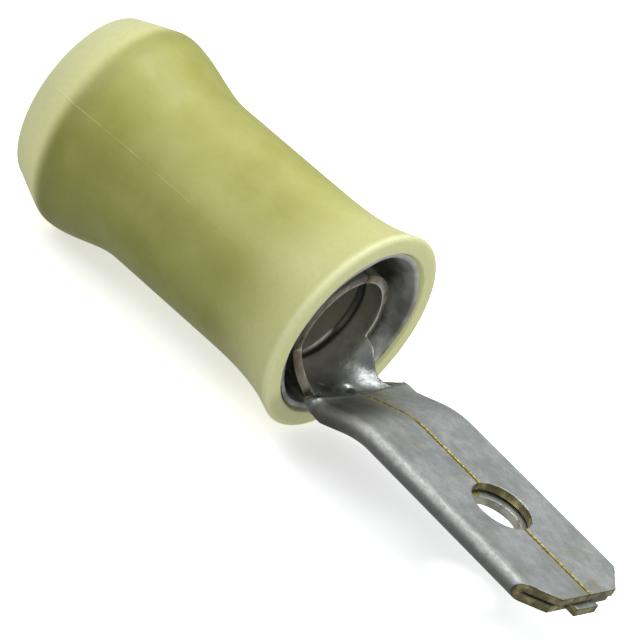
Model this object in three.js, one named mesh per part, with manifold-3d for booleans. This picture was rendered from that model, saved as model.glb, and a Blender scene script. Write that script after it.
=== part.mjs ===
// Nylon-insulated male tab terminal for a crimped wire end, three pieces nested in one another.
// Lengths are millimetres. The sleeve axis is X: the wire enters at -X and the tab points to +X.
// +Z is the side of the barrel seam. The drawing origin is the centre of the sleeve's front face.
// At the end everything is moved so the origin is the bottom centre of the overall box.
import * as THREE from "three";
import { mergeVertices } from "three/addons/utils/BufferGeometryUtils.js";
import Module from "manifold-3d";

const wasm = await Module();
wasm.setup();

// ---------- driving dimensions ----------
const SEGMENTS = 36; // facets round every turned shape

// insulating sleeve
const SLEEVE_LENGTH = 15.4;
const FRONT_RISE = 0.7; // the front flare's outside radius over that of the long waist
const BELL_RISE = 0.72; // the same for the bell near the wire entry
const ENTRY_FALL = 0.08; // the entry rim's outside radius under that of the waist
const NYLON_WALL = 0.68;
const FRONT_WALL = 0.84; // the front lip is thicker
const LIP_LENGTH = 2.0; // length over which the wall thickens towards the front lip
const FRONT_FLARE = 4.2; // length of the front flare
const BELL_PEAK = 2.1; // distance of the largest radius from the entry rim
const BELL_FLARE = 3.6; // length over which the waist swells to the bell
const FRONT_ROUND = 0.2; // soft outer edge of the front face
const ENTRY_ROUND = 0.22; // soft edge of the entry rim
const INNER_ROUND = 0.07; // broken inner edge at both mouths
const ENTRY_SKEW_Y = -0.085; // the entry rim is not quite square to the axis: shift of x per mm of y
const ENTRY_SKEW_Z = -0.034; // and per mm of z

// metal support sleeve inside the nylon
const LINER_WALL = 0.22;
const LINER_CLEARANCE = 0.03; // nylon to support sleeve, all round
const LINER_RECESS = 0.06; // its front rim sits this far behind the nylon's front face
const LINER_END = 1.85; // its rear rim stops this far before the entry rim

// tab terminal, one strip
const STRIP = 0.38; // strip thickness
const BARREL_BORE_R = 2.22;
const BARREL_DROP = 0.12; // the barrel lies low in the support sleeve
const BARREL_SIDE = 0.08; // and a little towards +Y
const BARREL_FLAT = 0.27; // the rolled barrel is this much lower than it is wide
const BARREL_LENGTH = 7.6;
const BARREL_RECESS = 0.6; // front rim of the barrel behind the sleeve's front face
const RIM_SLANT = 0.03; // slope of the barrel's front rim across Y
const BARREL_CLEARANCE = 0.126; // round barrel to support sleeve where they lie closest
const SEAM_GAP = 0.06; // butt seam of the rolled barrel
const GROOVES = 3; // wire-gripping grooves in the bore
const GROOVE_FIRST = 1.72; // centre of the first one behind the sleeve's front face
const GROOVE_PITCH = 2.2;
const GROOVE_WIDTH = 0.35;
const GROOVE_DEPTH = 0.11;
const BARREL_CHAMFER = 0.14; // funnel at the barrel's rear mouth

const NECK_HALF = 2.45; // half width of the neck where it is narrowest
const NECK_BEND_X = 0.9; // where the neck turns up towards the tab
const NECK_RISE = 18; // degrees
const NECK_BEND_R = 2.2;
const TAB_BEND_X = 3.9; // where the strip levels out
const TAB_BEND_R = 3.8;
const TAB_DROOP = 3.0; // degrees the tab points down
const TAB_YAW = 2.1; // degrees the tab points towards -Y
const TAB_WIDTH = 6.35;
const TAB_SLOT = 0.04; // gap left between the two folded layers
const TAB_SEAM = 0.07; // gap between the two flaps, along the middle of the top
const FLAP_START_X = 1.58; // rear edge of the flaps
const SHOULDER_CUT = 0.42; // corner taken off the rear of each fold
const TAB_REACH = 13.7; // tip of the tab in front of the sleeve's front face
const TIP_CHAMFER_W = 1.47;
const TIP_CHAMFER_L = 1.32;
const HOLE_FROM_TIP = 4.84;
const HOLE_R = 1.27;
const LOWER_SHORT = 0.18; // the lower layer stops this far behind the flaps
const NUB_WIDTH = 1.3; // carrier-strip stub on the lower layer
const NUB_LENGTH = 0.3;

// what follows from them: each tube is sized from the one inside it
const BARREL_R = BARREL_BORE_R + STRIP;
const BARREL_OVAL = 1 - BARREL_FLAT / (2 * BARREL_R); // height over width
const LINER_BORE_R = BARREL_R + Math.hypot(BARREL_DROP, BARREL_SIDE) + BARREL_CLEARANCE;
const WAIST_R = LINER_BORE_R + LINER_WALL + LINER_CLEARANCE + NYLON_WALL;
const FRONT_R = WAIST_R + FRONT_RISE;
const BELL_R = WAIST_R + BELL_RISE;
const ENTRY_R = WAIST_R - ENTRY_FALL;
const TAB_THICKNESS = 2 * STRIP + TAB_SLOT;
const rad = THREE.MathUtils.degToRad;

// ---------- helpers ----------
function solid(geometry) {
  const g = geometry.clone();
  g.deleteAttribute("normal");
  g.deleteAttribute("uv");
  const m = mergeVertices(g, 1e-5);
  const mesh = new wasm.Mesh({
    numProp: 3,
    vertProperties: m.attributes.position.array,
    triVerts: new Uint32Array(m.index.array),
  });
  return new wasm.Manifold(mesh);
}

function geometryOf(manifold) {
  const m = manifold.getMesh();
  const g = new THREE.BufferGeometry();
  g.setAttribute("position", new THREE.BufferAttribute(new Float32Array(m.vertProperties), 3));
  g.setIndex(new THREE.BufferAttribute(new Uint32Array(m.triVerts), 1));
  return g;
}

// A closed profile of [x, radius] points turned about the X axis, with a flat facet lowest.
function turned(points) {
  const profile = points.map(([x, r]) => new THREE.Vector2(r, x)).reverse();
  profile.push(profile[0].clone());
  const g = new THREE.LatheGeometry(profile, SEGMENTS, Math.PI / SEGMENTS);
  g.rotateZ(-Math.PI / 2);
  return g;
}

// A skin over rings of equal point count, closed by a flat cap at each end.
function lofted(rings, flat) {
  const n = rings[0].length;
  const positions = rings.flat().flatMap((p) => [p.x, p.y, p.z]);
  const index = [];
  for (let k = 0; k + 1 < rings.length; k++) {
    for (let i = 0; i < n; i++) {
      const j = (i + 1) % n;
      const a = k * n + i;
      const b = k * n + j;
      index.push(a, b, a + n);
      index.push(b, b + n, a + n);
    }
  }
  const last = (rings.length - 1) * n;
  for (const [a, b, c] of THREE.ShapeUtils.triangulateShape(flat(0), [])) {
    index.push(c, b, a);
  }
  for (const [a, b, c] of THREE.ShapeUtils.triangulateShape(flat(1), [])) {
    index.push(last + a, last + b, last + c);
  }
  const g = new THREE.BufferGeometry();
  g.setAttribute("position", new THREE.Float32BufferAttribute(positions, 3));
  g.setIndex(index);
  return g;
}

// Smooth step from 0 to 1.
function ease(t) {
  const u = THREE.MathUtils.clamp(t, 0, 1);
  return u * u * (3 - 2 * u);
}

// ---------- sleeve outline ----------
const entryX = -SLEEVE_LENGTH;
const peakX = entryX + BELL_PEAK;
const bellFootX = peakX + BELL_FLARE;
const linerEndX = entryX + LINER_END;

// Outside radius of the nylon along x, without its rounded edges.
function outsideR(x) {
  if (x > -FRONT_FLARE) {
    const t = (x + FRONT_FLARE) / FRONT_FLARE;
    return WAIST_R + (FRONT_R - WAIST_R) * (0.6 * t ** 2.2 + 0.4 * t ** 4);
  }
  if (x > bellFootX) return WAIST_R;
  if (x > peakX) return WAIST_R + (BELL_R - WAIST_R) * ease((bellFootX - x) / BELL_FLARE);
  const t = (x - entryX) / BELL_PEAK;
  return ENTRY_R + (BELL_R - ENTRY_R) * (1.15 * t - 0.15 * t * t);
}

function insideR(x) {
  return outsideR(x) - NYLON_WALL - (FRONT_WALL - NYLON_WALL) * ease((x + LIP_LENGTH) / LIP_LENGTH);
}

// Evenly spaced stations from a to b, both ends included.
function stations(a, b, count) {
  return Array.from({ length: count + 1 }, (_, i) => a + ((b - a) * i) / count);
}

// The wire-entry end leans a little out of square.
function skewEntry(g) {
  const p = g.attributes.position;
  for (let i = 0; i < p.count; i++) {
    const w = THREE.MathUtils.clamp((-p.getX(i) * 3) / SLEEVE_LENGTH - 2, 0, 1);
    p.setX(i, p.getX(i) + w * (ENTRY_SKEW_Y * p.getY(i) + ENTRY_SKEW_Z * p.getZ(i)));
  }
  return g;
}

// ---------- nylon sleeve ----------
function nylonSleeve() {
  const points = [];
  const round = (cx, cr, size, from, steps) => {
    for (let i = 0; i <= steps; i++) {
      const a = rad(from) + (rad(90) * i) / steps;
      points.push([cx + size * Math.cos(a), cr + size * Math.sin(a)]);
    }
  };
  const frontInner = insideR(0);
  const entryInner = ENTRY_R - NYLON_WALL;
  round(-INNER_ROUND, frontInner + INNER_ROUND, INNER_ROUND, -90, 2);
  round(-FRONT_ROUND, outsideR(-FRONT_ROUND) - FRONT_ROUND, FRONT_ROUND, 0, 4);
  for (const x of stations(-0.7, -FRONT_FLARE, 5)) points.push([x, outsideR(x)]);
  for (const x of stations(bellFootX, peakX, 8)) points.push([x, outsideR(x)]);
  for (const x of stations(peakX, entryX + 0.45, 5).slice(1)) points.push([x, outsideR(x)]);
  round(entryX + ENTRY_ROUND, outsideR(entryX + ENTRY_ROUND) - ENTRY_ROUND, ENTRY_ROUND, 90, 3);
  round(entryX + INNER_ROUND, entryInner + INNER_ROUND, INNER_ROUND, 180, 1);
  for (const x of stations(entryX + 0.45, linerEndX - 0.25, 4)) {
    points.push([x, Math.min(insideR(x), insideR(linerEndX))]);
  }
  for (const x of stations(linerEndX, bellFootX, 9)) points.push([x, insideR(x)]);
  for (const x of stations(-FRONT_FLARE, -0.4, 6)) points.push([x, insideR(x)]);
  return skewEntry(turned(points));
}

// ---------- support sleeve ----------
function supportSleeve() {
  const outer = (x) => insideR(x) - LINER_CLEARANCE;
  const xs = [
    ...stations(-LINER_RECESS, -FRONT_FLARE, 6),
    ...stations(bellFootX, linerEndX, 9),
  ];
  const points = xs.map((x) => [x, outer(x)]);
  for (const x of xs.reverse()) points.push([x, outer(x) - LINER_WALL]);
  return skewEntry(turned(points));
}

// ---------- strip path of the terminal ----------
// Centre of the lower layer: level under the barrel, up along the neck, then along the tab.
function arcPath() {
  const rise = rad(NECK_RISE);
  const droop = rad(TAB_DROOP);
  const yaw = rad(TAB_YAW);
  const floor = -(BARREL_DROP + BARREL_BORE_R + STRIP / 2);
  const bend1 = NECK_BEND_R * Math.tan(rise / 2);
  const bend2 = TAB_BEND_R * Math.tan((rise + droop) / 2);
  const knee = new THREE.Vector2(NECK_BEND_X, floor);
  const crest = new THREE.Vector2(TAB_BEND_X, floor + (TAB_BEND_X - NECK_BEND_X) * Math.tan(rise));
  return (x) => {
    let z = floor;
    let pitch = 0;
    const x1 = knee.x - bend1;
    const x2 = knee.x + bend1 * Math.cos(rise);
    const x3 = crest.x - bend2 * Math.cos(rise);
    const x4 = crest.x + bend2 * Math.cos(droop);
    if (x > x1 && x <= x2) {
      pitch = Math.asin((x - x1) / NECK_BEND_R);
      z = floor + NECK_BEND_R * (1 - Math.cos(pitch));
    } else if (x > x2 && x <= x3) {
      pitch = rise;
      z = floor + (x - knee.x) * Math.tan(rise);
    } else if (x > x3 && x <= x4) {
      const start = crest.y - bend2 * Math.sin(rise);
      pitch = Math.asin(Math.sin(rise) - (x - x3) / TAB_BEND_R);
      z = start + TAB_BEND_R * (Math.cos(pitch) - Math.cos(rise));
    } else if (x > x4) {
      pitch = -droop;
      z = crest.y - (x - crest.x) * Math.tan(droop);
    }
    const turn = yaw * ease((x - x1) / (x3 - x1));
    const y = BARREL_SIDE - Math.tan(yaw) * Math.max(0, x - (x1 + x3) / 2) * ease((x - x1) / (x3 - x1));
    return { x, y, z, pitch, turn };
  };
}
const path = arcPath();

// A point of the strip: lateral offset v and offset n along the strip's normal, at station x.
function onStrip(x, v, n) {
  const s = path(x);
  const along = new THREE.Vector3(Math.cos(s.pitch) * Math.cos(s.turn), 0, Math.sin(s.pitch));
  along.y = -Math.cos(s.pitch) * Math.sin(s.turn);
  const side = new THREE.Vector3(Math.sin(s.turn), Math.cos(s.turn), 0);
  const up = new THREE.Vector3().crossVectors(along, side);
  return new THREE.Vector3(s.x, s.y, s.z).addScaledVector(side, v).addScaledVector(up, n);
}

// Frame of the flat tab, for the cutters: origin on the strip at station x.
function tabFrame(x, n) {
  const s = path(x);
  const m = new THREE.Matrix4().makeRotationFromEuler(new THREE.Euler(0, -s.pitch, -s.turn, "ZYX"));
  m.setPosition(onStrip(x, 0, n));
  return m;
}

// ---------- terminal pieces ----------
function barrel() {
  const front = -BARREL_RECESS + RIM_SLANT * BARREL_R * 1.2;
  const rear = -BARREL_RECESS - BARREL_LENGTH;
  const points = [
    [front, BARREL_R],
    [rear, BARREL_R],
    [rear, BARREL_BORE_R + BARREL_CHAMFER],
    [rear + BARREL_CHAMFER, BARREL_BORE_R],
  ];
  for (let i = GROOVES - 1; i >= 0; i--) {
    const x = -GROOVE_FIRST - i * GROOVE_PITCH;
    const half = GROOVE_WIDTH / 2;
    points.push([x - half, BARREL_BORE_R]);
    points.push([x - half * 0.45, BARREL_BORE_R + GROOVE_DEPTH]);
    points.push([x + half * 0.45, BARREL_BORE_R + GROOVE_DEPTH]);
    points.push([x + half, BARREL_BORE_R]);
  }
  points.push([front, BARREL_BORE_R]);
  const g = turned(points);
  g.scale(1, 1, BARREL_OVAL);
  g.translate(0, BARREL_SIDE, -BARREL_DROP - BARREL_FLAT / 2);
  return solid(g);
}

// The seam along the top of the barrel, opening into a small notch at the front rim.
function barrelSeam() {
  const length = BARREL_LENGTH + 2;
  const height = BARREL_BORE_R + STRIP / 2 + 0.1 - BARREL_DROP - BARREL_FLAT;
  const slit = new THREE.BoxGeometry(length, SEAM_GAP, STRIP + 0.6);
  slit.translate(-BARREL_RECESS - BARREL_LENGTH / 2, BARREL_SIDE, height);
  const notch = new THREE.BoxGeometry(0.2, 0.2, STRIP + 0.6);
  notch.rotateZ(rad(45));
  notch.translate(-BARREL_RECESS + 0.04, BARREL_SIDE, height);
  return solid(slit).add(solid(notch));
}

// Everything in front of the slanted rim plane.
function rimCut() {
  const g = new THREE.BoxGeometry(4, 8, 8);
  g.translate(2, 0, 0);
  g.rotateZ(Math.atan(RIM_SLANT));
  g.translate(-BARREL_RECESS, 0, 0);
  return solid(g);
}

// The neck: a trough that opens from the barrel's lower half and flattens into the tab.
function neck() {
  const barrelMid = BARREL_BORE_R + STRIP / 2;
  const rim = -BARREL_RECESS;
  const span = FLAP_START_X - rim;
  const arc = rad(70) * barrelMid;
  // station, radius of the trough, half width along the arc, thickness
  const rows = [
    [rim - 0.7, barrelMid, rad(80) * barrelMid, STRIP - 0.1],
    [rim - 0.2, barrelMid, rad(80) * barrelMid, STRIP - 0.1],
    [rim + 0.056 * span, barrelMid, arc * 1.06, STRIP - 0.01],
    [rim + 0.13 * span, barrelMid * 1.08, arc * 0.99, STRIP],
    [rim + 0.235 * span, barrelMid * 1.22, arc * 0.96, STRIP],
    [rim + 0.355 * span, barrelMid * 1.42, arc * 0.87, STRIP],
    [rim + 0.495 * span, barrelMid * 1.75, NECK_HALF, STRIP],
    [rim + 0.625 * span, barrelMid * 2.2, NECK_HALF, STRIP],
    [rim + 0.755 * span, barrelMid * 2.9, NECK_HALF, STRIP],
    [rim + 0.88 * span, barrelMid * 4, NECK_HALF, STRIP],
    [rim + 0.985 * span, barrelMid * 7, NECK_HALF, STRIP],
    [FLAP_START_X + 0.25, barrelMid * 400, NECK_HALF, STRIP - 0.08],
    [FLAP_START_X + 0.7, barrelMid * 400, NECK_HALF, STRIP - 0.08],
  ];
  const across = 20;
  const rings = rows.map(([x, r, half, thick]) => {
    const oval = 1 - (1 - BARREL_OVAL) * (1 - ease((x - rim) / span));
    const ring = [];
    for (let i = 0; i <= across; i++) {
      const a = ((2 * i) / across - 1) * (half / r);
      ring.push(onStrip(x, (r + thick / 2) * Math.sin(a), oval * (r - (r + thick / 2) * Math.cos(a))));
    }
    for (let i = across; i >= 0; i--) {
      const a = ((2 * i) / across - 1) * (half / r);
      ring.push(onStrip(x, (r - thick / 2) * Math.sin(a), oval * (r - (r - thick / 2) * Math.cos(a))));
    }
    return ring;
  });
  const flat = (end) => rings[end ? rings.length - 1 : 0].map((p) => new THREE.Vector2(p.y, p.z));
  return solid(lofted(rings, flat));
}

// Section of the folded tab: [lateral, normal] points round both layers and the slot between.
function foldedSection() {
  const half = TAB_WIDTH / 2;
  const mid = (STRIP + TAB_SLOT) / 2;
  const outer = TAB_THICKNESS / 2;
  const inner = TAB_SLOT / 2;
  const fold = half - outer;
  const points = [];
  const arc = (side, r, from, to, steps) => {
    for (let i = 0; i <= steps; i++) {
      const a = rad(from + ((to - from) * i) / steps);
      points.push([side * (fold + r * Math.cos(a)), mid + r * Math.sin(a)]);
    }
  };
  points.push([-TAB_SEAM / 2, mid + outer - 0.05]);
  points.push([-TAB_SEAM / 2 - 0.05, mid + outer]);
  arc(-1, outer, 90, -90, 8);
  arc(1, outer, -90, 90, 8);
  points.push([TAB_SEAM / 2 + 0.05, mid + outer]);
  points.push([TAB_SEAM / 2, mid + outer - 0.05]);
  points.push([TAB_SEAM / 2, mid + inner]);
  arc(1, inner, 90, -90, 2);
  arc(-1, inner, -90, 90, 2);
  points.push([-TAB_SEAM / 2, mid + inner]);
  return points;
}

function foldedTab() {
  const section = foldedSection();
  const xs = [
    FLAP_START_X,
    FLAP_START_X + 0.3,
    ...stations(TAB_BEND_X - 0.75, TAB_BEND_X + 0.72, 8),
    TAB_REACH,
  ];
  const rings = xs.map((x) => section.map(([v, n]) => onStrip(x, v, n)));
  const flat = () => section.map(([v, n]) => new THREE.Vector2(v, n));
  let tab = solid(lofted(rings, flat));
  const half = TAB_WIDTH / 2;
  for (const side of [-1, 1]) {
    const shoulder = [
      [SHOULDER_CUT + 1, side * (half + 1)],
      [-1, side * (half - SHOULDER_CUT - 1)],
      [-2, side * (half + 1)],
    ];
    if (side < 0) shoulder.reverse();
    tab = tab.subtract(prism(FLAP_START_X, shoulder, -2, 2));
  }
  return tab;
}

// A prism over an outline in the tab's own plane, between two heights along its normal.
function prism(x, outline, low, high) {
  const shape = new THREE.Shape(outline.map(([a, b]) => new THREE.Vector2(a, b)));
  const g = new THREE.ExtrudeGeometry(shape, { depth: high - low, bevelEnabled: false });
  g.translate(0, 0, low);
  g.applyMatrix4(tabFrame(x, 0));
  return solid(g);
}

function tabCuts() {
  const half = TAB_WIDTH / 2;
  const far = half + 1;
  const split = (STRIP + TAB_SLOT) / 2;
  const slope = TIP_CHAMFER_L / TIP_CHAMFER_W;
  const cuts = [];
  for (const side of [-1, 1]) {
    const tip = [
      [-TIP_CHAMFER_L - slope, side * far],
      [slope, side * (half - TIP_CHAMFER_W - 1)],
      [3, side * far],
    ];
    if (side < 0) tip.reverse();
    cuts.push(prism(TAB_REACH, tip, split, 2));
    cuts.push(prism(TAB_REACH - LOWER_SHORT, tip, -2, split + 0.01));
  }
  const end = [
    [0, -far],
    [3, -far],
    [3, far],
    [0, far],
  ];
  cuts.push(prism(TAB_REACH - LOWER_SHORT, end, -2, split + 0.01));
  const hole = new THREE.CylinderGeometry(HOLE_R, HOLE_R, 4, 40);
  hole.rotateX(Math.PI / 2);
  hole.applyMatrix4(tabFrame(TAB_REACH - HOLE_FROM_TIP, 0));
  cuts.push(solid(hole));
  return cuts;
}

function nub() {
  const back = LOWER_SHORT + 0.3;
  const g = new THREE.BoxGeometry(NUB_LENGTH + back, NUB_WIDTH, STRIP - 0.06);
  g.translate((NUB_LENGTH - back) / 2, 0, -0.01);
  g.applyMatrix4(tabFrame(TAB_REACH, 0));
  return solid(g);
}

function tabTerminal() {
  let body = barrel().subtract(rimCut()).subtract(barrelSeam());
  body = body.add(neck()).add(foldedTab());
  for (const cut of tabCuts()) body = body.subtract(cut);
  return geometryOf(body.add(nub()));
}

// ---------- assembly ----------
const nylon = new THREE.MeshStandardMaterial({ color: 0xb7bc6c, roughness: 0.45, metalness: 0 });
const tinned = new THREE.MeshStandardMaterial({ color: 0x9a9a98, roughness: 0.42, metalness: 0.9 });
const liner = new THREE.MeshStandardMaterial({ color: 0x8f9090, roughness: 0.38, metalness: 0.9 });

const pieces = [
  ["nylon_sleeve", nylonSleeve(), nylon],
  ["support_sleeve", supportSleeve(), liner],
  ["tab_terminal", tabTerminal(), tinned],
];

const connector = new THREE.Group();
const box = new THREE.Box3();
for (const [name, geometry, material] of pieces) {
  const mesh = new THREE.Mesh(geometry, material);
  mesh.name = name;
  connector.add(mesh);
  geometry.computeBoundingBox();
  geometry.computeVertexNormals();
  box.union(geometry.boundingBox);
}

const centre = box.getCenter(new THREE.Vector3());
for (const mesh of connector.children) {
  mesh.position.set(-centre.x, 0, -box.min.z);
}

export default connector;
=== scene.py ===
import math

import bpy
from mathutils import Matrix, Vector


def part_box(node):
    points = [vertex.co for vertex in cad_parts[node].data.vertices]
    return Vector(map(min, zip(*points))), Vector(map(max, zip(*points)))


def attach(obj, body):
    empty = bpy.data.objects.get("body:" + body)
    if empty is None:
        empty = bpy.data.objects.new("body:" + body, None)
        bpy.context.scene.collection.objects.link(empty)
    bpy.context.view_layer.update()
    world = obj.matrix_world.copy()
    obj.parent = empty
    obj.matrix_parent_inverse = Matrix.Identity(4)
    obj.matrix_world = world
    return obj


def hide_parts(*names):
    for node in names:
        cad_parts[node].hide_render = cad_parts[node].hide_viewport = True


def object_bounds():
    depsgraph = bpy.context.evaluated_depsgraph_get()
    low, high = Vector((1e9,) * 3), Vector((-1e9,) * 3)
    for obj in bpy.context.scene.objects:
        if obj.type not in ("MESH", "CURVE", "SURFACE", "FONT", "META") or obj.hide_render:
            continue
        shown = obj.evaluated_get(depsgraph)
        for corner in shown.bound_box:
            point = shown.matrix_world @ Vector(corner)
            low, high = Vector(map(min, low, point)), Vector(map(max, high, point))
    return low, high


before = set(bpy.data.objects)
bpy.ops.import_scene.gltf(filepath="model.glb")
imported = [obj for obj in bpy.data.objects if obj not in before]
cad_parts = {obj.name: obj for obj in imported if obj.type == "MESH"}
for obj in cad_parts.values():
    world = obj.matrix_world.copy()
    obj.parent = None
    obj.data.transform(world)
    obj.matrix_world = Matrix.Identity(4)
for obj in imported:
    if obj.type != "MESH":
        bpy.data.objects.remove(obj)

cad_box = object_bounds()

# ---------- place of the part, camera ----------
# Sizes below are millimetres from the centre of the sleeve's front face: +X along the tab and +Z
# on the seam's side. The camera is a long lens that looks down on the tab, rolled on its own axis.
MM = 0.001
sleeve_low, sleeve_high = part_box("nylon_sleeve")
MOUTH = Vector((sleeve_high.x, 0, (sleeve_low.z + sleeve_high.z) / 2))


def at(x, y, z):
    return MOUTH + Vector((x, y, z)) * MM


CAMERA_PLACE = (63.27, -121.96, 60.18)
CAMERA_RIGHT = Vector((0.67994, 0.58266, 0.44519))
CAMERA_UP = Vector((-0.59431, 0.08227, 0.80002))
CAMERA_LENS = 225.7
CAMERA_SENSOR = 36
CAMERA_NEAREST = 1 * MM
CAMERA_FARTHEST = 10

bpy.ops.object.camera_add()
camera = bpy.context.object
camera.name = "studio_camera"
turn = Matrix((CAMERA_RIGHT, CAMERA_UP, CAMERA_RIGHT.cross(CAMERA_UP))).transposed()
camera.matrix_world = Matrix.Translation(at(*CAMERA_PLACE)) @ turn.to_4x4()
camera.data.sensor_width = CAMERA_SENSOR
camera.data.lens = CAMERA_LENS
camera.data.clip_start = CAMERA_NEAREST
camera.data.clip_end = CAMERA_FARTHEST
bpy.context.scene.camera = camera

# ---------- nylon sleeve ----------
# The insulating sleeve is one moulded tube of translucent yellow-green nylon with a slender waist. It
# flares to a thick lip at the tab's end and swells to a bell at the wire entry, whose rim leans a
# little. It is pushed over the metal support sleeve, and is paler where no metal backs it.
SLEEVE_LENGTH = 15.4
WAIST_R = 3.8
FRONT_R = 4.5
BELL_R = 4.52
ENTRY_R = 3.72
WALL = 0.68
FRONT_WALL = 0.84
LIP_LENGTH = 2.0
FRONT_FLARE = 4.2
FLARE_SHARPNESS = 0.4
BELL_PEAK = 2.1
BELL_FLARE = 3.6
BELL_BULGE = 0.15
ENTRY_SKEW_Y = -0.085
ENTRY_SKEW_Z = -0.034
FRONT_ROUND = 0.2
ENTRY_ROUND = 0.3
INNER_ROUND = 0.07
FACE_INNER = 0.2
FACE_OUTER = 0.12
FRONT_EDGE = 0.4
ENTRY_EDGE = 0.45
LINER_EDGE = 0.25
LINER_END = 1.85
RING = 96
MERGE_REACH = 0.001
entry_x = -SLEEVE_LENGTH
peak_x = entry_x + BELL_PEAK
bell_foot_x = peak_x + BELL_FLARE
liner_end_x = entry_x + LINER_END


def clamp(t):
    return max(0.0, min(1.0, t))


def ease(t):
    u = clamp(t)
    return u * u * (3 - 2 * u)


def stations(a, b, count):
    return [a + (b - a) * i / count for i in range(count + 1)]


def outside_r(x):
    """The nylon's outer radius at x: front flare, waist, swelling, then the wire entry's taper."""
    if x > -FRONT_FLARE:
        t = (x + FRONT_FLARE) / FRONT_FLARE
        opening = (1 - FLARE_SHARPNESS) * t**2.2 + FLARE_SHARPNESS * t**4
        return WAIST_R + (FRONT_R - WAIST_R) * opening
    if x > bell_foot_x:
        return WAIST_R
    if x > peak_x:
        return WAIST_R + (BELL_R - WAIST_R) * ease((bell_foot_x - x) / BELL_FLARE)
    t = (x - entry_x) / BELL_PEAK
    return ENTRY_R + (BELL_R - ENTRY_R) * (t + BELL_BULGE * t * (1 - t))


def inside_r(x):
    return outside_r(x) - WALL - (FRONT_WALL - WALL) * ease((x + LIP_LENGTH) / LIP_LENGTH)


def rounded(x, r, size, first, steps):
    """A quarter turn of an edge's rounding, from the angle first, in degrees."""
    angles = [math.radians(first + 90 * i / steps) for i in range(steps + 1)]
    return [(x + size * math.cos(a), r + size * math.sin(a)) for a in angles]


def nylon_outline():
    """The wall's section: front rim, outside to the rear, wire entry, and the inside back again."""
    front_inner = inside_r(0)
    entry_inner = ENTRY_R - WALL
    rear_round_x = entry_x + ENTRY_ROUND
    rear_round_r = outside_r(rear_round_x) - ENTRY_ROUND
    points = rounded(-INNER_ROUND, front_inner + INNER_ROUND, INNER_ROUND, -90, 3)
    face_top = FRONT_R - FRONT_ROUND - FACE_OUTER
    points += [(0, r) for r in stations(front_inner + FACE_INNER, face_top, 2)]
    points += rounded(-FRONT_ROUND, outside_r(-FRONT_ROUND) - FRONT_ROUND, FRONT_ROUND, 0, 5)
    points += [(x, outside_r(x)) for x in stations(-FRONT_EDGE, -FRONT_FLARE, 12)]
    points += [(x, outside_r(x)) for x in stations(-FRONT_FLARE, bell_foot_x, 6)[1:]]
    points += [(x, outside_r(x)) for x in stations(bell_foot_x, peak_x, 12)[1:]]
    points += [(x, outside_r(x)) for x in stations(peak_x, entry_x + ENTRY_EDGE, 6)[1:]]
    points += rounded(rear_round_x, rear_round_r, ENTRY_ROUND, 90, 5)
    points += rounded(entry_x + INNER_ROUND, entry_inner + INNER_ROUND, INNER_ROUND, 180, 2)
    for x in stations(entry_x + ENTRY_EDGE, liner_end_x - LINER_EDGE, 4):
        points.append((x, min(inside_r(x), inside_r(liner_end_x))))
    points += [(x, inside_r(x)) for x in stations(liner_end_x, bell_foot_x, 10)]
    points += [(x, inside_r(x)) for x in stations(-FRONT_FLARE, -FRONT_EDGE, 8)]
    return points


def select_nothing():
    bpy.ops.object.select_all(action="DESELECT")


def merge_and_turn_out():
    """Merges the doubled points of the mesh in edit mode and turns its faces outwards."""
    bpy.ops.mesh.select_all(action="SELECT")
    bpy.ops.mesh.remove_doubles(threshold=MERGE_REACH * MM)
    bpy.ops.mesh.normals_make_consistent(inside=False)


def drawn_tube(name, outline):
    """A closed wall: a ring is drawn along the axis through (x, radius) stations, back to its start."""
    select_nothing()
    x, r = outline[0]
    place = {"location": at(x, 0, 0), "rotation": (0, math.pi / 2, 0)}
    bpy.ops.mesh.primitive_circle_add(vertices=RING, radius=r * MM, **place)
    tube = bpy.context.object
    tube.name = name
    tube.data.name = name
    bpy.ops.object.transform_apply(location=True, rotation=True, scale=True)
    bpy.ops.object.mode_set(mode="EDIT")
    bpy.ops.mesh.select_all(action="SELECT")
    for (x0, r0), (x1, r1) in zip(outline, outline[1:] + outline[:1]):
        bpy.ops.mesh.extrude_edges_move(TRANSFORM_OT_translate={"value": ((x1 - x0) * MM, 0, 0)})
        bpy.ops.transform.resize(value=(1, r1 / r0, r1 / r0), center_override=at(x1, 0, 0))
    merge_and_turn_out()
    bpy.ops.object.mode_set(mode="OBJECT")
    return tube


def skew_entry(piece):
    """Leans the wire-entry third of a sleeve out of square."""
    for v in piece.data.vertices:
        x, y, z = (v.co - MOUTH) / MM
        weight = clamp(-3 * x / SLEEVE_LENGTH - 2)
        v.co.x += weight * (ENTRY_SKEW_Y * y + ENTRY_SKEW_Z * z) * MM


def applied(piece, kind, **settings):
    """Adds a modifier of this kind to the piece and applies it."""
    select_nothing()
    piece.select_set(True)
    bpy.context.view_layer.objects.active = piece
    modifier = piece.modifiers.new(kind.lower(), kind)
    for name, value in settings.items():
        setattr(modifier, name, value)
    bpy.ops.object.modifier_apply(modifier=modifier.name)


nylon = drawn_tube("moulded_sleeve", nylon_outline())
skew_entry(nylon)
applied(nylon, "SUBSURF", levels=1, render_levels=1)
bpy.ops.object.shade_smooth()


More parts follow.
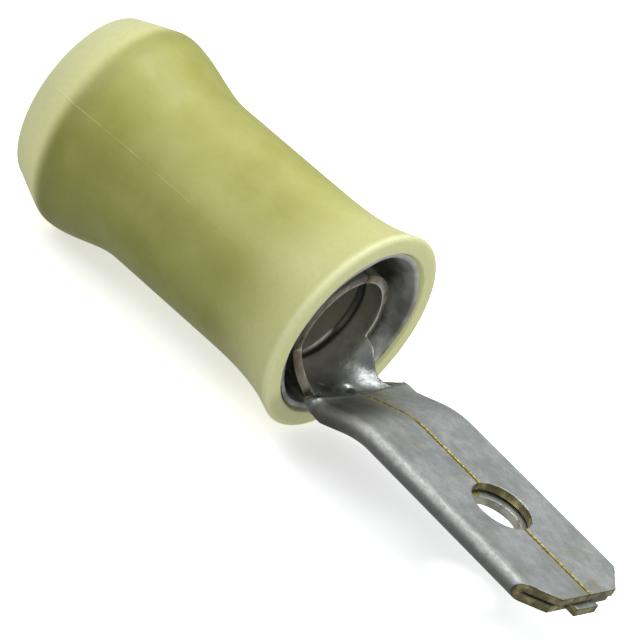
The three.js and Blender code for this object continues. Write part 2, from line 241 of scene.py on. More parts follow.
class Value:
    """A node's output that takes part in sums, which add their Math nodes."""

    def __init__(self, graph, socket):
        self.graph = graph
        self.socket = socket

    def math(self, operation, *others):
        operands = dict(enumerate((self, *others)))
        return self.graph.node("ShaderNodeMath", {"operation": operation}, operands)

    def __add__(self, other):
        return self.math("ADD", other)

    def __sub__(self, other):
        return self.math("SUBTRACT", other)

    def __rsub__(self, other):
        return (self * -1) + other

    def __mul__(self, other):
        return self.math("MULTIPLY", other)

    __radd__ = __add__
    __rmul__ = __mul__

    def size(self):
        return self.math("ABSOLUTE")

    def step(self, low, high):
        """0 up to low, 1 from high on, and a smooth rise between them."""
        ends = {"Value": self, "From Min": low, "From Max": high}
        return self.graph.node("ShaderNodeMapRange", {"interpolation_type": "SMOOTHSTEP"}, ends)


class Graph:
    """A node tree: every node in it comes from node()."""

    def __init__(self, tree):
        self.tree = tree

    def node(self, kind, settings=None, inputs=None, output=0):
        """Adds a node, gives it its settings and its inputs' values or links, and returns an output."""
        made = self.tree.nodes.new(kind)
        for name, value in (settings or {}).items():
            setattr(made, name, value)
        for name, value in (inputs or {}).items():
            self.feed(made.inputs[name], value)
        return Value(self, made.outputs[output])

    def feed(self, socket, value):
        if isinstance(value, Value):
            self.tree.links.new(value.socket, socket)
        else:
            socket.default_value = value


class Paint(Graph):
    """A piece's material in the making, with its pattern measured in millimetres from the mouth."""

    def __init__(self, name):
        self.material = bpy.data.materials.new(name)
        self.material.use_nodes = True
        super().__init__(self.material.node_tree)
        self.shader = self.tree.nodes["Principled BSDF"]
        place = self.node("ShaderNodeTexCoord", output="Object")
        moved = {"Vector": place, "Location": MOUTH / -MM, "Scale": Vector((1, 1, 1)) / MM}
        self.point = self.node("ShaderNodeMapping", {}, moved)
        self.x, self.y, self.z = self.split(self.point)

    def split(self, vector):
        return [self.node("ShaderNodeSeparateXYZ", {}, {"Vector": vector}, i) for i in range(3)]

    def mix(self, factor, first, second):
        """Colour between first and second, as factor goes from 0 to 1."""
        colours = [c if isinstance(c, Value) else (*c, 1) for c in (first, second)]
        # A Mix node's sockets for colour are its inputs 6 and 7 and its output 2.
        inputs = {0: factor, 6: colours[0], 7: colours[1]}
        return self.node("ShaderNodeMix", {"data_type": "RGBA"}, inputs, 2)

    def noise(self, scale, detail=3, stretch=(1, 1, 1), rough=0.55):
        """Noise of scale waves to the millimetre, drawn out along the axes by stretch."""
        multiply = {"operation": "MULTIPLY"}
        spread = self.node("ShaderNodeVectorMath", multiply, {0: self.point, 1: stretch})
        inputs = {"Vector": spread, "Scale": scale, "Detail": detail, "Roughness": rough}
        return self.node("ShaderNodeTexNoise", {}, inputs)

    def bump(self, height, depth, below=None):
        """A normal from a height of 0 to 1 that stands for depth millimetres."""
        inputs = {"Height": height, "Distance": depth * MM, "Strength": 1.0}
        if below:
            inputs["Normal"] = below
        return self.node("ShaderNodeBump", {}, inputs)

    def upward(self):
        """The surface's own direction: 1 where it faces up, 0 on a side and -1 underneath."""
        return self.split(self.node("ShaderNodeNewGeometry", output="Normal"))[2]

    def set(self, **values):
        for name, value in values.items():
            self.feed(self.shader.inputs[name.replace("_", " ")], value)


def distance(a, b):
    """How far a point is from where both a and b are 0."""
    return (a * a + b * b).math("SQRT")


PARTING_ANGLE = math.radians(159)
PARTING_WIDTH = 0.07
DEEP_OLIVE = (0.32, 0.32, 0.055)
LIGHT_OLIVE = (0.42, 0.43, 0.105)
MILKY = (0.54, 0.54, 0.2)
LINER_EDGE_SHADE = (0.24, 0.24, 0.055)
FLARED_NYLON = (0.58, 0.58, 0.25)
ENTRY_NYLON = (0.49, 0.5, 0.27)
BARE_NYLON = (0.58, 0.57, 0.26)
LIP_NYLON = (0.68, 0.69, 0.35)
RIM_NYLON = (0.84, 0.85, 0.62)
PARTING_NYLON = (0.8, 0.8, 0.5)
DUSTY_OLIVE = (0.3, 0.3, 0.1)
LIT_NYLON = (0.74, 0.72, 0.4)
LIT_STRENGTH = 0.25
paint = Paint("yellow_nylon")
along = paint.x - paint.y * ENTRY_SKEW_Y - paint.z * ENTRY_SKEW_Z
radius = distance(paint.y, paint.z)
backed = along.step(liner_end_x - 0.3, liner_end_x + 0.45)
cloud = paint.noise(0.2, 2, (0.55, 1, 1)).step(0.34, 0.66)
mottle = paint.noise(0.9, 4).step(0.3, 0.7)
fine = paint.noise(4.5, 4)
over_metal = paint.mix(cloud, DEEP_OLIVE, LIGHT_OLIVE)
over_metal = paint.mix(mottle * 0.2, over_metal, MILKY)
edge_shade = (1 - (along - (liner_end_x + 0.5)).size().step(0.1, 0.8)) * 0.4
over_metal = paint.mix(edge_shade, over_metal, LINER_EDGE_SHADE)
flare = paint.x.step(-FRONT_FLARE, -0.6) * 0.8
over_metal = paint.mix(flare, over_metal, FLARED_NYLON)
open_wall = paint.mix(along.step(entry_x, liner_end_x), ENTRY_NYLON, BARE_NYLON)
colour = paint.mix(backed, open_wall, over_metal)
lip = paint.x.step(-0.5, -0.06)
colour = paint.mix(lip * 0.9, colour, LIP_NYLON)
# Painted highlight: a whiter line round the lip's outer edge.
rim_line = radius.step(FRONT_R - 0.3, FRONT_R - 0.1) * lip
colour = paint.mix(rim_line * 0.3, colour, RIM_NYLON)
from_parting = paint.y * math.sin(PARTING_ANGLE) - paint.z * math.cos(PARTING_ANGLE)
parting_side = (paint.y * math.cos(PARTING_ANGLE) + paint.z * math.sin(PARTING_ANGLE)).step(0, 1)
worn_away = 1 - paint.x.step(entry_x + 3.5, -2)
parting = (1 - from_parting.size().step(0, PARTING_WIDTH)) * parting_side * worn_away * mottle
colour = paint.mix(parting * 0.13, colour, PARTING_NYLON)
colour = paint.mix(fine.step(0.35, 0.7) * 0.1, colour, DUSTY_OLIVE)
paint.set(Base_Color=colour, Roughness=fine * 0.14 + 0.42, IOR=1.53)
paint.set(Subsurface_Weight=0.35, Subsurface_Radius=(1.0, 0.95, 0.45), Subsurface_Scale=0.9 * MM)
paint.set(Normal=paint.bump(fine, 0.008, paint.bump(parting, 0.01)))
# Painted light: the bare, flared and lip nylon glows, standing in for light that passes through the
# wall, most on faces turned down.
turned_away = 1 - paint.upward().step(-0.3, 0.8) * 0.85
painted_light_through = (1 - backed).math("MAXIMUM", flare * 0.6).math("MAXIMUM", lip * 0.75) * turned_away
glow = paint.mix(painted_light_through, (0, 0, 0), LIT_NYLON)
paint.set(Emission_Color=glow, Emission_Strength=LIT_STRENGTH)
nylon.data.materials.append(paint.material)


def finish_piece(piece, node):
    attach(piece, "root")
    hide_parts(node)


finish_piece(nylon, "nylon_sleeve")

# ---------- support sleeve ----------
# A thin tube of tinned sheet metal lines the nylon from just behind its front lip and spreads the
# crimp. It was turned out by a press, so its front rim waves a little and its skin is satin.
LINER_WALL = 0.22
LINER_CLEARANCE = 0.03
LINER_RECESS = 0.06
LINER_RIM = 0.7
RIM_WAVE = 0.035
RIM_WAVE_REACH = 1.2
RIM_BREAK = 0.07
STAINED_TIN = (0.24, 0.24, 0.22)
CLEAN_TIN = (0.68, 0.68, 0.63)
PAINTED_LIGHT_TIN = (0.86, 0.86, 0.81)


def liner_outline():
    xs = stations(-LINER_RECESS, -FRONT_EDGE, 3) + stations(-LINER_RIM, -FRONT_FLARE, 7)
    xs += stations(bell_foot_x, liner_end_x, 12)
    outer = [(x, inside_r(x) - LINER_CLEARANCE) for x in xs]
    return outer + [(x, r - LINER_WALL) for x, r in reversed(outer)]


liner = drawn_tube("metal_lining", liner_outline())
skew_entry(liner)
for v in liner.data.vertices:
    x, y, z = (v.co - MOUTH) / MM
    angle = math.atan2(z, y)
    wave = math.sin(3 * angle + 1.0) + 0.6 * math.sin(7 * angle)
    v.co.x += RIM_WAVE * (wave - 1.6) * ease((x + RIM_WAVE_REACH) / 1.1) * MM
applied(liner, "BEVEL", width=RIM_BREAK * MM, segments=2, limit_method="ANGLE",
        angle_limit=math.radians(50))
bpy.ops.object.shade_smooth_by_angle(angle=math.radians(35))

paint = Paint("satin_tin")
stain = paint.noise(0.9, 5).step(0.35, 0.68)
grain = paint.noise(9.0, 3)
# Painted light: near the front rim the lining's upper part is painted paler, standing in for the light
# it catches there.
near_rim = paint.x.step(-1.6, -0.1) * paint.z.step(-0.8, 2.4)
colour = paint.mix(stain, STAINED_TIN, CLEAN_TIN)
colour = paint.mix(near_rim * 0.5, colour, PAINTED_LIGHT_TIN)
satin = stain * 0.14 + grain * 0.1 + near_rim * 0.22 + 0.34
paint.set(Base_Color=colour, Metallic=1.0, Roughness=satin)
paint.set(Normal=paint.bump(paint.noise(1.6, 4), 0.02, paint.bump(grain, 0.004)))
liner.data.materials.append(paint.material)
finish_piece(liner, "support_sleeve")

# ---------- tab terminal ----------
# One strip of tinned brass. Its rear is rolled into the wire barrel, its middle is a dished neck
# that climbs out of the barrel, and its front is folded double into the flat tab, with a slight droop.
# It is made as in a press: a flat blank is punched, rolled and folded, then cut and pierced.
STRIP = 0.38
BARREL_BORE_R = 2.22
BARREL_DROP = 0.12
BARREL_SIDE = 0.08
BARREL_FLAT = 0.27
BARREL_LENGTH = 7.6
BARREL_RECESS = 0.6
RIM_SLANT = 0.03
SLANT_REACH = 3
BARREL_SEAM = 0.06
NECK_BEND_X = 0.9
NECK_RISE = math.radians(18)
NECK_BEND_R = 2.2
TAB_BEND_X = 3.9
TAB_BEND_R = 3.8
TAB_DROOP = math.radians(3.0)
TAB_YAW = math.radians(2.1)
TAB_WIDTH = 6.35
TAB_SLOT = 0.04
PRESSED = 0.03
TAB_SEAM = 0.05
FLAP_START_X = 1.58
TAB_REACH = 13.7
LOWER_SHORT = 0.18
TIP_LENGTH = 1
CURL_AT_FLAPS = 0.13
CURL_FADE = 0.6
NEARLY_NONE = 0.001
barrel_mid = BARREL_BORE_R + STRIP / 2
rim_x = -BARREL_RECESS
rear_x = rim_x - BARREL_LENGTH
floor_z = -(BARREL_DROP + barrel_mid)
squeezed = 1 - BARREL_FLAT / (2 * (barrel_mid + STRIP / 2))
knee_half = NECK_BEND_R * math.tan(NECK_RISE / 2)
crest_half = TAB_BEND_R * math.tan((NECK_RISE + TAB_DROOP) / 2)
bend_starts = NECK_BEND_X - knee_half
bend_ends = NECK_BEND_X + knee_half * math.cos(NECK_RISE)
crest_starts = TAB_BEND_X - crest_half * math.cos(NECK_RISE)
crest_ends = TAB_BEND_X + crest_half * math.cos(TAB_DROOP)
crest_z = floor_z + (TAB_BEND_X - NECK_BEND_X) * math.tan(NECK_RISE)
swing_middle = (bend_starts + crest_starts) / 2


def strip_frame(x):
    """Centre of the strip's lower layer at x, and its directions along, sideways and up."""
    z, pitch = floor_z, 0.0
    if bend_starts < x <= bend_ends:
        pitch = math.asin((x - bend_starts) / NECK_BEND_R)
        z = floor_z + NECK_BEND_R * (1 - math.cos(pitch))
    elif bend_ends < x <= crest_starts:
        pitch = NECK_RISE
        z = floor_z + (x - NECK_BEND_X) * math.tan(NECK_RISE)
    elif crest_starts < x <= crest_ends:
        pitch = math.asin(math.sin(NECK_RISE) - (x - crest_starts) / TAB_BEND_R)
        start = crest_z - crest_half * math.sin(NECK_RISE)
        z = start + TAB_BEND_R * (math.cos(pitch) - math.cos(NECK_RISE))
    elif x > crest_ends:
        pitch = -TAB_DROOP
        z = crest_z - (x - TAB_BEND_X) * math.tan(TAB_DROOP)
    swing = ease((x - bend_starts) / (crest_starts - bend_starts))
    yaw = TAB_YAW * swing
    y = BARREL_SIDE - math.tan(TAB_YAW) * max(0, x - swing_middle) * swing
    along = Vector((math.cos(pitch) * math.cos(yaw), -math.cos(pitch) * math.sin(yaw), math.sin(pitch)))
    side = Vector((math.sin(yaw), math.cos(yaw), 0))
    return Vector((x, y, z)), along, side, along.cross(side)


def curl(x):
    """How much of the barrel's roundness is left: 1 in the barrel, fading to 0 along the neck."""
    if x <= rim_x:
        return 1.0
    t = (x - rim_x) / (FLAP_START_X - rim_x)
    if t < 1:
        return 1 - (1 - CURL_AT_FLAPS) * t
    return CURL_AT_FLAPS * (1 - ease((x - FLAP_START_X) / CURL_FADE))


def on_strip(x, v, n):
    """A point of the strip at x, v to the side along its section and n above the lower layer."""
    centre, _, side, up = strip_frame(x)
    round_part = curl(x)
    if round_part > NEARLY_NONE:
        r = barrel_mid / round_part
        v, n = (r - n) * math.sin(v / r), r - (r - n) * math.cos(v / r)
    unsqueezed = ease((x - rim_x) / (FLAP_START_X - rim_x))
    n *= squeezed + (1 - squeezed) * unsqueezed
    point = centre + side * v + up * n
    if x <= rim_x:
        point.x -= RIM_SLANT * point.y * clamp((x + SLANT_REACH - rim_x) / SLANT_REACH)
    return at(*point)


# The blank is a grid: columns run across the strip from its middle line, rows run along it. The
# middle columns go all the way, and the outer ones are only on the barrel and on the folded tab.
CORNER_COLUMNS = 10
MIDDLE_COLUMNS = 16
FOLD_COLUMNS = 10
FLAP_COLUMNS = 16
NECK_STEPS = 16
LEAD_STEPS = 6
SIDE_COLUMNS = MIDDLE_COLUMNS + FOLD_COLUMNS + FLAP_COLUMNS
BARREL_STEP = 0.3
TAB_STEP = 0.2
BARREL_MIDDLE = 3.1
NECK_HALF = 2.38
NECK_NARROWEST = 0.55
LEAD_FIRST = 0.2
LEAD_RISE = 0.38
TIP_CHAMFER_W = 1.47
TIP_CHAMFER_L = 1.32
GROOVES = 3
GROOVE_FIRST = 1.72
GROOVE_PITCH = 2.2
GROOVE_WIDTH = 0.35
GROOVE_FLOOR = 0.45
GROOVE_DEPTH = 0.11
fold_r = (STRIP + TAB_SLOT) / 2
fold_v = TAB_WIDTH / 2 - STRIP - TAB_SLOT / 2
corner_v = TAB_WIDTH / 2 - TIP_CHAMFER_W
groove_xs = [-GROOVE_FIRST - i * GROOVE_PITCH for i in range(GROOVES)]


def filled(marks, step):
    """The marks, with more stations between them, no further apart than step."""
    made = [marks[0]]
    for a, b in zip(marks, marks[1:]):
        made += stations(a, b, max(1, math.ceil((b - a) / step)))[1:]
    return made


def between(column, first, last, a, b):
    """From a at the first column to b at the last."""
    return a + (b - a) * (column - first) / (last - first)


def neck_edge(x):
    """Half the neck's width, up to its punched edge."""
    t = (x - rim_x) / (FLAP_START_X - rim_x)
    narrow = BARREL_MIDDLE + (NECK_HALF - BARREL_MIDDLE) * ease(t / NECK_NARROWEST)
    widening = ease((t - NECK_NARROWEST) / (1 - NECK_NARROWEST))
    return narrow + (fold_v + fold_r - NECK_HALF) * widening


def fold_lead(x):
    """How far round each fold the neck's edge has risen, as a share of the half turn."""
    t = (x - fold_lead_x) / (FLAP_START_X - fold_lead_x)
    return 0.0 if t < NEARLY_NONE else LEAD_FIRST + LEAD_RISE * ease(t)


def column_place(column, x):
    """Where a column runs at x in the section: v sideways and n above the lower layer."""
    c = abs(column)
    side = -1 if column < 0 else 1
    if x <= rim_x:
        half_turn = math.pi * barrel_mid - BARREL_SEAM / 2
        if c <= MIDDLE_COLUMNS:
            return side * BARREL_MIDDLE * c / MIDDLE_COLUMNS, 0.0
        return side * between(c, MIDDLE_COLUMNS, SIDE_COLUMNS, BARREL_MIDDLE, half_turn), 0.0
    if x < FLAP_START_X - NEARLY_NONE:
        end = math.pi * fold_lead(x)
        flat = neck_edge(x) - fold_r * math.sin(min(end, math.pi / 2))
        a = end * max(0, c - MIDDLE_COLUMNS) / FOLD_COLUMNS
        flat_part = min(c, MIDDLE_COLUMNS) / MIDDLE_COLUMNS
        return side * (flat * flat_part + fold_r * math.sin(a)), fold_r * (1 - math.cos(a))
    if c <= CORNER_COLUMNS:
        return side * corner_v * c / CORNER_COLUMNS, 0.0
    if c <= MIDDLE_COLUMNS:
        return side * between(c, CORNER_COLUMNS, MIDDLE_COLUMNS, corner_v, fold_v), 0.0
    c -= MIDDLE_COLUMNS
    if c <= FOLD_COLUMNS:
        a = math.pi * c / FOLD_COLUMNS
        return side * (fold_v + fold_r * math.sin(a)), fold_r * (1 - math.cos(a))
    c -= FOLD_COLUMNS
    corner = MIDDLE_COLUMNS - CORNER_COLUMNS
    if c <= corner:
        return side * between(c, 0, corner, fold_v, corner_v), 2 * fold_r
    return side * between(c, corner, FLAP_COLUMNS, corner_v, TAB_SEAM / 2), 2 * fold_r


barrel_marks = [rear_x]
for x in reversed(groove_xs):
    half = GROOVE_WIDTH / 2
    barrel_marks += [x - half, x - half * GROOVE_FLOOR, x + half * GROOVE_FLOOR, x + half]
barrel_rows = filled(barrel_marks + [rim_x], BARREL_STEP)
neck_rows = stations(rim_x, FLAP_START_X, NECK_STEPS)[1:-1]
fold_lead_x = neck_rows[-LEAD_STEPS]
tip_x = TAB_REACH - TIP_LENGTH
tab_rows = filled([FLAP_START_X, crest_starts, crest_ends, tip_x, TAB_REACH], TAB_STEP)
rows = barrel_rows + neck_rows + tab_rows
rim_row = len(barrel_rows) - 1
flap_row = len(barrel_rows) + len(neck_rows)
lead_row = flap_row - LEAD_STEPS

select_nothing()
bpy.ops.mesh.primitive_grid_add(x_subdivisions=len(rows) - 1, y_subdivisions=2 * SIDE_COLUMNS, size=1)
terminal = bpy.context.object
terminal.name = "folded_terminal"
terminal.data.name = "folded_terminal"


def row_of(point):
    return round((point.x + 0.5) * (len(rows) - 1))


def column_of(point):
    return round(point.y * 2 * SIDE_COLUMNS)


# The waste on both sides of the neck is punched out of the blank.
bpy.ops.object.mode_set(mode="EDIT")
bpy.ops.mesh.select_all(action="DESELECT")
bpy.ops.object.mode_set(mode="OBJECT")
for face in terminal.data.polygons:
    row = (face.center.x + 0.5) * (len(rows) - 1)
    column = abs(face.center.y) * 2 * SIDE_COLUMNS
    kept = MIDDLE_COLUMNS if row < lead_row else MIDDLE_COLUMNS + FOLD_COLUMNS
    face.select = rim_row < row < flap_row and column > kept
bpy.ops.object.mode_set(mode="EDIT")
bpy.ops.mesh.select_mode(type="FACE")
bpy.ops.mesh.delete(type="FACE")
bpy.ops.object.mode_set(mode="OBJECT")

# The blank is rolled and folded. The lower layer of the tab ends a little short of the flaps.
NUB_COLUMNS = 4
nub_edge = []
for v in terminal.data.vertices:
    row, column = row_of(v.co), column_of(v.co)
    x = rows[row]
    side, above = column_place(column, x)
    if x > tip_x:
        x -= LOWER_SHORT * (1 - above / (2 * fold_r)) * (x - tip_x) / TIP_LENGTH
    if row == len(rows) - 1 and abs(column) <= NUB_COLUMNS:
        nub_edge.append(v.index)
    v.co = on_strip(x, side, above)

# A stub of the carrier strip is left on the lower layer's end.
NUB_OUT = 0.24
bpy.ops.object.mode_set(mode="EDIT")
bpy.ops.mesh.select_all(action="DESELECT")
bpy.ops.mesh.select_mode(type="VERT")
bpy.ops.object.mode_set(mode="OBJECT")
for i in nub_edge:
    terminal.data.vertices[i].select = True
bpy.ops.object.mode_set(mode="EDIT")
bpy.ops.mesh.select_mode(type="EDGE")
_, tab_along, _, _ = strip_frame(TAB_REACH)
nub_step = tab_along * (LOWER_SHORT + NUB_OUT) * MM
bpy.ops.mesh.extrude_edges_move(TRANSFORM_OT_translate={"value": nub_step})
merge_and_turn_out()
bpy.ops.object.mode_set(mode="OBJECT")

# The mid surface gets the strip's thickness. Grooves that grip the wire are pressed into the
# barrel's bore. The tip corners are sheared off, both layers are pierced by the latch hole, the
# lower one a little smaller, and every edge is broken. Cut faces show the brass under the tin.
HOLE_FROM_TIP = 4.84
HOLE_R = 1.27
LOWER_HOLE_R = 1.09
LOWER_HOLE_SHIFT = (0.1, -0.18)
EDGE_BREAK = 0.035
CUTTER = 4.0
CUT = 1
chamfer_turn = math.atan2(TIP_CHAMFER_L, TIP_CHAMFER_W)
hole_x = TAB_REACH - HOLE_FROM_TIP


def cut_away(piece, cutter):
    """Takes the cutter's space out of the piece, and leaves cut metal where it went."""
    for slot in piece.data.materials:
        cutter.data.materials.append(slot)
    for face in cutter.data.polygons:
        face.material_index = CUT
    applied(piece, "BOOLEAN", object=cutter, operation="DIFFERENCE", solver="EXACT")
    bpy.data.objects.remove(cutter)


def tab_pose(x, v, n, turned=0.0):
    """Place and direction of a tool on the tab, n above the lower layer and turned about its normal."""
    centre, along, side, up = strip_frame(x)
    frame_turn = Matrix((along, side, up)).transposed() @ Matrix.Rotation(turned, 3, "Z")
    place = at(*(centre + side * v + up * n))
    return {"location": place, "rotation": frame_turn.to_euler()}


tin = Paint("dull_tin")
cut = Paint("cut_brass")
terminal.data.materials.append(tin.material)
terminal.data.materials.append(cut.material)
applied(terminal, "SOLIDIFY", thickness=(STRIP - PRESSED) * MM, offset=0, material_offset_rim=CUT)

for v in terminal.data.vertices:
    x, y, z = (v.co - MOUTH) / MM
    inner = math.hypot(y - BARREL_SIDE, z + BARREL_DROP + BARREL_FLAT / 2) < barrel_mid - STRIP / 4
    for groove in groove_xs:
        if inner and x < rim_x - BARREL_STEP and abs(x - groove) < GROOVE_WIDTH / 3:
            outward = Vector((0, y - BARREL_SIDE, z + BARREL_DROP)).normalized()
            v.co += outward * GROOVE_DEPTH * MM

for side in (-1, 1):
    out = Vector((math.cos(chamfer_turn), side * math.sin(chamfer_turn))) * CUTTER / 2
    corner_x = TAB_REACH - TIP_CHAMFER_L / 2 + out.x
    corner_y = side * (TAB_WIDTH - TIP_CHAMFER_W) / 2 + out.y
    select_nothing()
    pose = tab_pose(corner_x, corner_y, fold_r, side * chamfer_turn)
    bpy.ops.mesh.primitive_cube_add(size=CUTTER * MM, **pose)
    cut_away(terminal, bpy.context.object)
for layer, radius, (shift_x, shift_v) in ((0, LOWER_HOLE_R, LOWER_HOLE_SHIFT), (1, HOLE_R, (0, 0))):
    select_nothing()
    pose = tab_pose(hole_x + shift_x, shift_v, fold_r + (layer - 0.5) * CUTTER)
    bpy.ops.mesh.primitive_cylinder_add(vertices=64, radius=radius * MM, depth=CUTTER * MM, **pose)
    cut_away(terminal, bpy.context.object)
applied(terminal, "BEVEL", width=EDGE_BREAK * MM, segments=2, limit_method="ANGLE",
        angle_limit=math.radians(48), use_clamp_overlap=False)
select_nothing()
terminal.select_set(True)
bpy.ops.object.shade_smooth_by_angle(angle=math.radians(35))

# The skin is electroplated tin, dull and finely mottled on the flat tab, and smoother where the neck
# was drawn. The neck's tin carries a painted dark reflection and the bore painted light; the grooves,
# the rise to the tab (most on its left), the tab's left side and the sides of the folds carry painted
# shade. Brass shows through along the seam.
SEAM_RUB = 0.13
DIMPLES = ((0.15, -0.35), (0.55, 0.8))
DIMPLE_R = 0.34
DENT_DEPTH = 0.07
GREY_TIN = (0.4, 0.42, 0.405)
PALE_TIN = (0.5, 0.52, 0.51)
SPECKED_TIN = (0.28, 0.29, 0.26)
GRAINY_TIN = (0.24, 0.24, 0.21)
BLOTCHED_TIN = (0.27, 0.275, 0.25)
BRIGHT_TIN = (0.62, 0.64, 0.63)
NECK_REFLECTION_DARK_TIN = (0.16, 0.17, 0.165)
NECK_REFLECTION_PALE_TIN = (0.28, 0.3, 0.3)
BARREL_TIN = (0.66, 0.65, 0.56)
PAINTED_GROOVE_SHADE = (0.05, 0.05, 0.04)
FLAP_SHADE = (0.12, 0.12, 0.11)
FOLD_SHADE = (0.16, 0.155, 0.14)
TIP_STAIN = (0.32, 0.3, 0.19)
SEAM_STAIN = (0.2, 0.19, 0.07)
DARK_BRASS = (0.26, 0.22, 0.05)
BRIGHT_BRASS = (0.56, 0.5, 0.16)


def across_tab(metal):
    """Millimetres sideways from the tab's middle line, on a metal's pattern."""
    return metal.y - BARREL_SIDE + (metal.x - swing_middle) * math.tan(TAB_YAW)


upward = tin.upward()
across = across_tab(tin)
on_tab = tin.x.step(FLAP_START_X - 0.15, FLAP_START_X + 0.15)
on_flat = tin.x.step(FLAP_START_X + 0.8, TAB_BEND_X + 0.5)
cloud = tin.noise(0.6, 4).step(0.3, 0.7)
speck = tin.noise(6.0, 4).step(0.3, 0.72)
grain = tin.noise(14.0, 2)
blotch = tin.noise(2.2, 5)
in_barrel = 1 - tin.x.step(-1.4, 0.2)
colour = tin.mix(cloud, GREY_TIN, PALE_TIN)
colour = tin.mix(speck * 0.36, colour, SPECKED_TIN)
colour = tin.mix(grain.step(0.5, 0.66) * 0.25, colour, GRAINY_TIN)
colour = tin.mix(blotch.step(0.52, 0.66) * 0.3, colour, BLOTCHED_TIN)
colour = tin.mix((1 - blotch.step(0.36, 0.48)) * 0.3, colour, BRIGHT_TIN)
# Painted reflection: the neck's tin is painted dark, standing in for the dark surroundings it mirrors.
# Painted light: inside the bore it is painted paler, standing in for light reaching in.
drawn = tin.mix(cloud, NECK_REFLECTION_DARK_TIN, NECK_REFLECTION_PALE_TIN)
drawn = tin.mix(in_barrel, drawn, BARREL_TIN)
# Painted shade: each groove is painted dark where it lies in shadow.
for groove in groove_xs:
    groove_shade = (1 - (tin.x - groove).size().step(GROOVE_WIDTH * 0.35, GROOVE_WIDTH * 0.75)) * 0.85
    drawn = tin.mix(groove_shade, drawn, PAINTED_GROOVE_SHADE)
colour = tin.mix(1 - on_tab, colour, drawn)
left_flap = 1 - across.step(-1.6, 1.2)
shaded = (1 - on_flat) * on_tab * (left_flap * 0.6 + 0.3) + left_flap * 0.12
colour = tin.mix(shaded, colour, FLAP_SHADE)
fold_side = across.size().step(fold_v + 0.12, TAB_WIDTH / 2) * on_tab * (1 - upward.step(0.1, 0.75))
colour = tin.mix(fold_side * 0.6, colour, FOLD_SHADE)
near_tip = tin.x.step(TAB_REACH - 4, TAB_REACH)
stain = tin.noise(0.9, 5).step(0.5, 0.72) * (near_tip * 0.5 + 0.2)
colour = tin.mix(stain, colour, TIP_STAIN)
seam_stain = (1 - tin.x.step(FLAP_START_X + 0.1, FLAP_START_X + 1.2)) * across.step(-0.5, 0.1)
seam_stain = seam_stain * (1 - across.step(0.7, 1.8)) * on_tab * speck
colour = tin.mix(seam_stain * 0.75, colour, SEAM_STAIN)
ragged = (speck - 0.5) * 0.06
on_flaps = on_tab * upward.step(0.3, 0.6) * (1 - tin.x.step(TAB_REACH - 0.02, TAB_REACH + 0.02))
rubbed = (1 - (across.size() + ragged).step(SEAM_RUB * 0.8, SEAM_RUB)) * on_flaps
brass = tin.mix(tin.noise(7.0, 2).step(0.4, 0.65), DARK_BRASS, BRIGHT_BRASS)
colour = tin.mix(rubbed, colour, brass)
fold = across.size().step(fold_v - 0.2, fold_v + 0.1) * on_tab
dull = cloud * 0.06 + speck * 0.08 + 0.4 + fold * 0.16
dents = tin.noise(1.1, 1) * (1 - on_tab)
for x, y in DIMPLES:
    dents = dents + distance(tin.x - x, tin.y - y).step(0, DIMPLE_R)
dull = dull - (1 - on_tab) * 0.16 + in_barrel * 0.2
tin.set(Base_Color=colour, Metallic=0.95, Roughness=dull)
small = tin.bump(tin.noise(1.7, 4), 0.03, tin.bump(grain, 0.004))
tin.set(Normal=tin.bump(dents, DENT_DEPTH, small))

# The cut faces are raw brass, streaked by the punch and tarnished, and darker next to the skin. The
# barrel's rim is near white along its inner edge, and tin has run into the lower layer's hole.
RIM_METAL = (0.58, 0.55, 0.44)
FRESH_BRASS = (0.62, 0.57, 0.28)
STREAKED_BRASS = (0.24, 0.21, 0.13)
TARNISH = (0.11, 0.085, 0.04)
RIM_OUTER = (0.13, 0.11, 0.07)
RIM_INNER = (0.86, 0.84, 0.78)
SEAM_END = (0.17, 0.11, 0.03)
HOLE_TIN = (0.7, 0.7, 0.65)
SKIN_SHADE = (0.07, 0.055, 0.03)
streak = cut.noise(3.5, 3, (1, 1, 0.25)).step(0.3, 0.7)
tarnish = cut.noise(1.3, 4).step(0.42, 0.6)
on_tab = cut.x.step(FLAP_START_X - 0.6, FLAP_START_X + 0.4)
colour = cut.mix(on_tab, RIM_METAL, FRESH_BRASS)
colour = cut.mix(streak * 0.6, colour, STREAKED_BRASS)
colour = cut.mix(tarnish * 0.75, colour, TARNISH)
rim_y = cut.y - BARREL_SIDE
rim_z = (cut.z - floor_z - barrel_mid * squeezed) * (1 / squeezed)
from_axis = distance(rim_y, rim_z)
outer_edge = from_axis.step(barrel_mid - 0.06, barrel_mid + 0.1) * (1 - on_tab)
colour = cut.mix(outer_edge * 0.6, colour, RIM_OUTER)
inner_edge = (1 - from_axis.step(barrel_mid - STRIP * 0.4, barrel_mid - STRIP * 0.15)) * (1 - on_tab)
colour = cut.mix(inner_edge * 0.8, colour, RIM_INNER)
seam_end = (1 - rim_y.size().step(0.12, 0.5)) * rim_z.step(1, 2)
colour = cut.mix(seam_end * 0.7, colour, SEAM_END)
hole_middle = strip_frame(hole_x)[0]
from_hole = distance(cut.x - hole_middle.x, cut.y - hole_middle.y)
in_hole = 1 - from_hole.step(HOLE_R + 0.05, HOLE_R + 0.15)
above_middle = cut.z - (crest_z + fold_r) + (cut.x - TAB_BEND_X) * math.tan(TAB_DROOP)
plated = in_hole * (1 - above_middle.step(-0.03, 0.01)) * (1 - tarnish * 0.5)
colour = cut.mix(plated * 0.85, colour, HOLE_TIN)
past_fold = (across_tab(cut).size() - fold_v).math("MAXIMUM", 0)
from_layer = (distance(past_fold, above_middle) - fold_r).size()
near_skin = from_layer.step(STRIP * 0.22, STRIP * 0.44) * (1 - in_hole) * on_tab
colour = cut.mix(near_skin * 0.7, colour, SKIN_SHADE)
cut.set(Base_Color=colour, Metallic=0.95, Roughness=streak * 0.12 + 0.34)
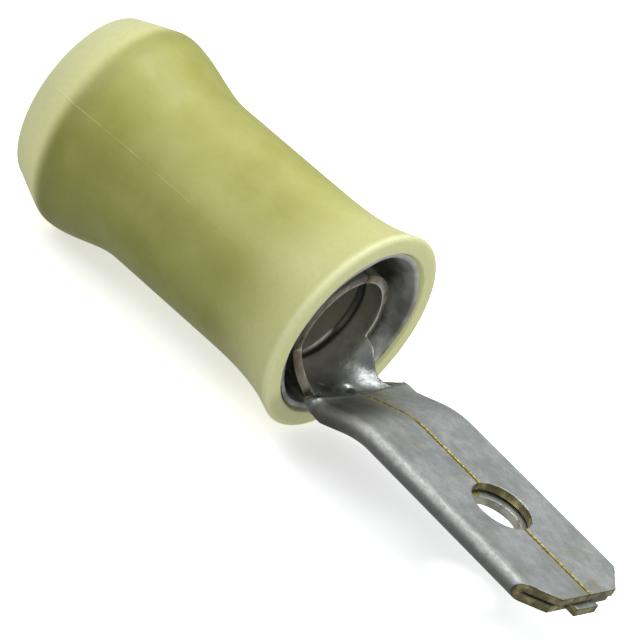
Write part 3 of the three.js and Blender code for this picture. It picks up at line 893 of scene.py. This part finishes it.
cut.set(Normal=cut.bump(streak, 0.012))
finish_piece(terminal, "tab_terminal")

# ---------- floor and light ----------
# A pale floor that glows a little, so that the shadow stays light, and soft round lights overhead,
# on the left and in front. The surroundings that the metal mirrors are pale above, darker below.
FLOOR_SIZE = 1.2
FLOOR_GLOW = 0.55
FLOOR_GAP = 0.02
SKY_DARKEST = 0.42
SKY_RISE = 0.15
select_nothing()
bpy.ops.mesh.primitive_plane_add(size=FLOOR_SIZE, location=(0, 0, cad_box[0].z - FLOOR_GAP * MM))
floor = bpy.context.object
floor.name = "studio_floor"
floor.visible_diffuse = False
floor.visible_glossy = False
floor_paint = Paint("pale_floor")
floor_paint.set(Base_Color=(0.92, 0.92, 0.92, 1), Roughness=0.9, Specular_IOR_Level=0.1)
floor_paint.set(Emission_Color=(1, 1, 1, 1), Emission_Strength=FLOOR_GLOW)
floor.data.materials.append(floor_paint.material)


def soft_light(name, place, size, watts):
    bpy.ops.object.light_add(type="AREA")
    lamp = bpy.context.object
    lamp.name = name
    lamp.data.shape = "DISK"
    lamp.data.size = size * MM
    lamp.data.energy = watts
    aim = (MOUTH - at(*place)).to_track_quat("-Z", "Y")
    lamp.matrix_world = Matrix.Translation(at(*place)) @ aim.to_matrix().to_4x4()


soft_light("overhead_light", place=(-20, 20, 190), size=110, watts=0.21)
soft_light("left_light", place=(-110, -95, 110), size=120, watts=0.11)
soft_light("front_light", place=(130, 10, 80), size=80, watts=0.05)

world = bpy.data.worlds.new("studio_surroundings")
world.use_nodes = True
bpy.context.scene.world = world
sky = Graph(world.node_tree)
direction = sky.node("ShaderNodeTexCoord", output="Generated")
height = sky.node("ShaderNodeSeparateXYZ", {}, {"Vector": direction}, "Z")
backdrop = world.node_tree.nodes["Background"]
backdrop.inputs["Color"].default_value = (0.95, 0.97, 1.0, 1)
sky.feed(backdrop.inputs["Strength"], height.step(-0.5, 0.25) * SKY_RISE + SKY_DARKEST)
bpy.context.scene.view_settings.view_transform = "Standard"
